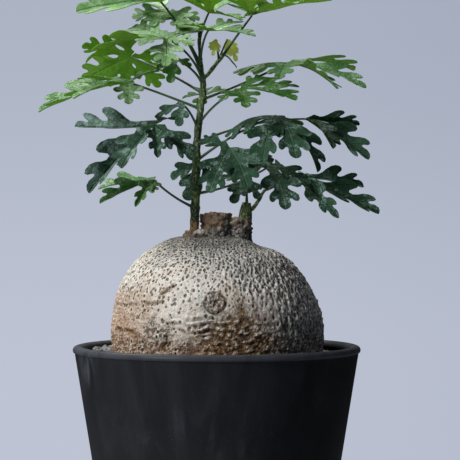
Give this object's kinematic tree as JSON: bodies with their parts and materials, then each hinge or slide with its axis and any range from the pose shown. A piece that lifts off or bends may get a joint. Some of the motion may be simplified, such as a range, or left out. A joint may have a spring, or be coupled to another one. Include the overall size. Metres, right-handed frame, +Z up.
{
  "type": "potted adenia",
  "caption": "Caudex plant in a round black pot: a swollen corky stem base half sunk in gritty mix, with a thin green vine and long-stalked, deeply lobed leaves.",
  "frame": {"origin": "middle of the pot's flat base, on the surface that the pot stands on", "axes": "+Z up along the pot's axis, -Y towards the front of the plant, +X to the right seen from the front"},
  "size_m": [0.2114, 0.18, 0.3754],
  "materials": {
    "pot_black": "matte black with faint pale scuffs",
    "grit": "dull dark grey gritty mix",
    "bark": "rough pale corky bark, warty, ochre brown low down and cream to grey higher up",
    "stem_green": "satin green young stem with pale flecks",
    "leaf_bright": "satin bright yellow-green leaf that lets light through",
    "leaf_mid": "satin mid green leaf",
    "leaf_dark": "glossy dark blue-green leaf with a grey sheen",
    "leaf_young": "soft yellow-green young leaf"
  },
  "bodies": {
    "root": {"pot": "pot_black", "soil": "grit", "caudex": "bark", "vine": "stem_green", "shoot": "stem_green", "leaf_left_low": "leaf_mid", "leaf_left_drooping": "leaf_dark", "leaf_left_long": "leaf_mid", "leaf_left_behind": "leaf_mid", "leaf_left_hanging": "leaf_dark", "leaf_upper_left": "leaf_bright", "leaf_top_left_back": "leaf_mid", "leaf_top_left": "leaf_bright", "leaf_top_middle": "leaf_bright", "leaf_top_right": "leaf_bright", "leaf_upper_front": "leaf_bright", "leaf_middle_back": "leaf_mid", "leaf_left_small": "leaf_dark", "leaf_right_high": "leaf_mid", "leaf_right_front": "leaf_mid", "leaf_right_arch": "leaf_dark", "leaf_right_far": "leaf_dark", "leaf_front_dark": "leaf_dark", "leaf_right_low": "leaf_dark", "leaf_right_lowest": "leaf_dark", "leaf_shoot": "leaf_dark", "leaf_low_back": "leaf_dark", "leaf_young_left": "leaf_young", "leaf_young_right": "leaf_young"}
  },
  "joints": []
}
